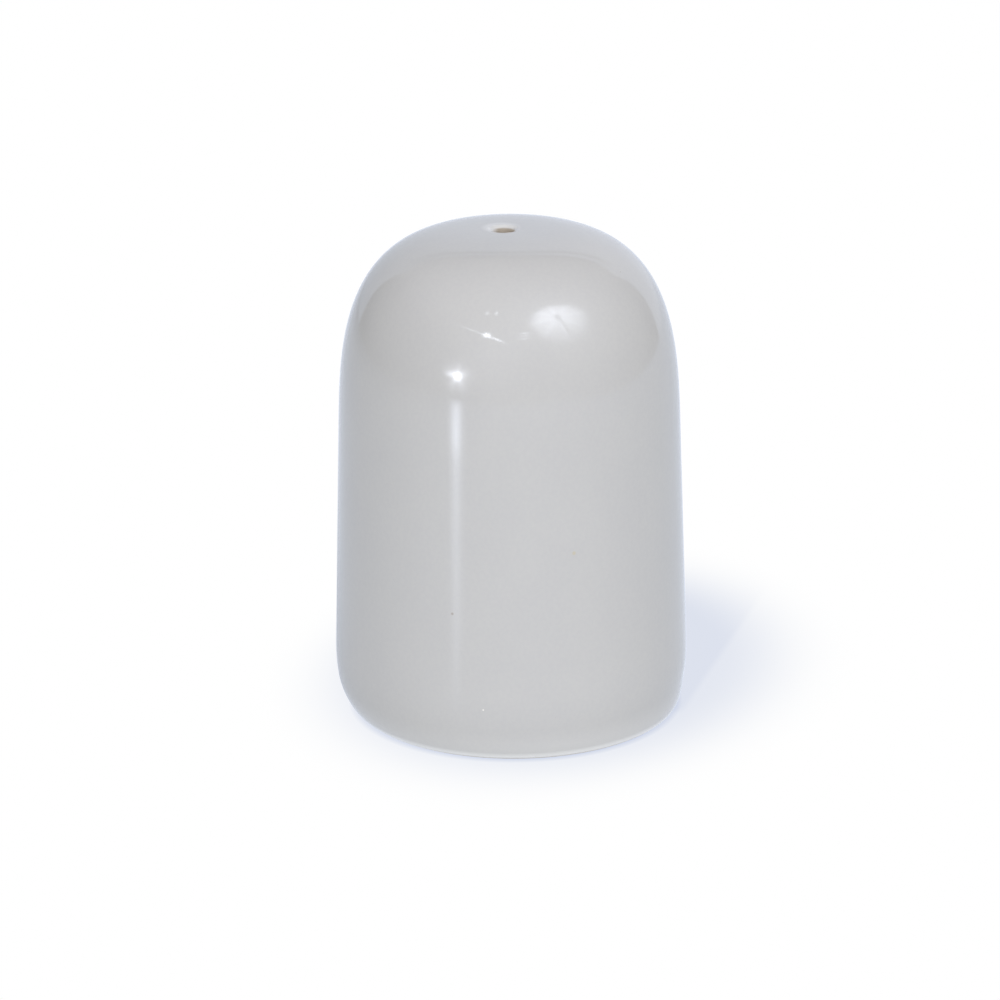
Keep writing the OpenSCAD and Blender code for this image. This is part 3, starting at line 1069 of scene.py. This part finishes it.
def umbrella_paint(tree, place, wide, high):
    """A studio umbrella: brighter towards one side, with ribs, a dark hub and its shaft."""
    # Cloth; places are shares of the card's half width and half height
    edge_fade, brightness = (1.04, 0.62), 5.9
    bright_place, bright_radii = (-0.18, 0.34, 0), (0.88, 0.82, 1)
    scaled = add_node(tree, "VectorMath", [place, (wide, high, 1)], operation="DIVIDE")
    disc = radius_from(tree, scaled, (0, 0, 0))
    disc = add_node(tree, "MapRange", [disc, *edge_fade], **SMOOTH)
    glow = bell(tree, radius_from(tree, scaled, bright_place, bright_radii))

    # Hub, dark against the cloth
    hub_place, hub_radii = (-0.046, 0.232, 0), (1.0, 1.5, 1)
    hub_fade, hub_depth = (0.14, 0.05), 0.6
    off_hub = add_node(tree, "VectorMath", [scaled, hub_place], operation="SUBTRACT")
    x, y, _ = add_node(tree, "SeparateXYZ", [off_hub]).outputs
    hub = radius_from(tree, off_hub, (0, 0, 0), hub_radii)
    hub = add_node(tree, "MapRange", [hub, *hub_fade, 0.0, hub_depth], **SMOOTH)

    # Shaft, from the hub down and a little to the right
    lean_x, lean_y = 0.32, 0.95
    line_fade, line_depth = (0.07, 0.03), 0.5
    start_fade, end_fade = (0.0, 0.05), (1.0, 0.8)
    along = [y, -lean_y, product(tree, x, lean_x)]
    along = add_node(tree, "Math", along, operation="MULTIPLY_ADD")
    across = [y, lean_x, product(tree, x, lean_y)]
    across = add_node(tree, "Math", across, operation="MULTIPLY_ADD")
    across = add_node(tree, "Math", [across], operation="ABSOLUTE")
    line = add_node(tree, "MapRange", [across, *line_fade, 0.0, line_depth], **SMOOTH)
    from_hub = add_node(tree, "MapRange", [along, *start_fade], **SMOOTH)
    to_end = add_node(tree, "MapRange", [along, *end_fade], **SMOOTH)
    shaft = product(tree, line, from_hub, to_end)
    dark = add_node(tree, "Math", [hub, shaft], operation="MAXIMUM")
    left_over = add_node(tree, "Math", [1.0, dark], operation="SUBTRACT")

    # Ribs, which streak the cloth lightly
    rib_count, between_ribs, on_ribs = 8.0, 0.92, 1.22
    turned = add_node(tree, "Math", [y, x], operation="ARCTAN2")
    spokes = add_node(tree, "Math", [product(tree, turned, rib_count)], operation="SINE")
    ribs = add_node(tree, "MapRange", [spokes, 0.3, 1.0, between_ribs, on_ribs], **SMOOTH)
    return product(tree, disc, glow, ribs, left_over, brightness)


def build_lights():
    """The lamps that the glaze mirrors."""
    glow_card("umbrella", *UMBRELLA, umbrella_paint)
    for name, (*card, core, halo, rays, part) in LAMPS.items():
        glow_card(name, *card, lamp_paint(core, halo, rays, part))


# ---------------------------------------------------------------- operators


class SHAKER_OT_shell(bpy.types.Operator):
    """Builds the glazed stoneware shell"""

    bl_idname = "shaker.shell"
    bl_label = "Stoneware shell"

    def execute(self, context):
        shape = ShellShape(context.scene.shaker_shell)
        shell = build_shell(shape)
        shell.data.materials.append(glazed_stoneware(shape, context.scene.shaker_colours))
        return {"FINISHED"}


class SHAKER_OT_stopper(bpy.types.Operator):
    """Builds the moulded stopper that closes the base"""

    bl_idname = "shaker.stopper"
    bl_label = "Base stopper"

    def execute(self, context):
        shell = ShellShape(context.scene.shaker_shell)
        stopper = build_stopper(StopperShape(shell, context.scene.shaker_stopper))
        stopper.data.materials.append(moulded_silicone(context.scene.shaker_colours))
        return {"FINISHED"}


class SHAKER_OT_stage(bpy.types.Operator):
    """Builds the table, the soft light and the camera"""

    bl_idname = "shaker.stage"
    bl_label = "Studio table"

    def execute(self, context):
        studio = context.scene.shaker_studio
        build_camera(studio)
        build_floor(studio)
        build_world(studio)
        build_lights()
        context.scene.view_settings.view_transform = "Standard"
        return {"FINISHED"}


class SHAKER_PT_panel(bpy.types.Panel):
    """Lists the shaker's pieces and its stage"""

    bl_label = "Pepper shaker"
    bl_idname = "SHAKER_PT_panel"
    bl_space_type = "VIEW_3D"
    bl_region_type = "UI"
    bl_category = "Shaker"

    def draw(self, context):
        for operator in OPERATORS:
            self.layout.operator(operator.bl_idname)


OPERATORS = (SHAKER_OT_shell, SHAKER_OT_stopper, SHAKER_OT_stage)
GROUPS = {
    "shaker_shell": ShakerShellSizes,
    "shaker_stopper": ShakerStopperSizes,
    "shaker_colours": ShakerColours,
    "shaker_studio": ShakerStudio,
}


def register():
    for name, group in GROUPS.items():
        bpy.utils.register_class(group)
        setattr(bpy.types.Scene, name, bpy.props.PointerProperty(type=group))
    for operator in OPERATORS:
        bpy.utils.register_class(operator)
    bpy.utils.register_class(SHAKER_PT_panel)


def unregister():
    bpy.utils.unregister_class(SHAKER_PT_panel)
    for operator in reversed(OPERATORS):
        bpy.utils.unregister_class(operator)
    for name, group in GROUPS.items():
        delattr(bpy.types.Scene, name)
        bpy.utils.unregister_class(group)


def main():
    register()
    bpy.ops.shaker.shell()
    bpy.ops.shaker.stopper()
    bpy.ops.shaker.stage()


if __name__ == "__main__":
    main()
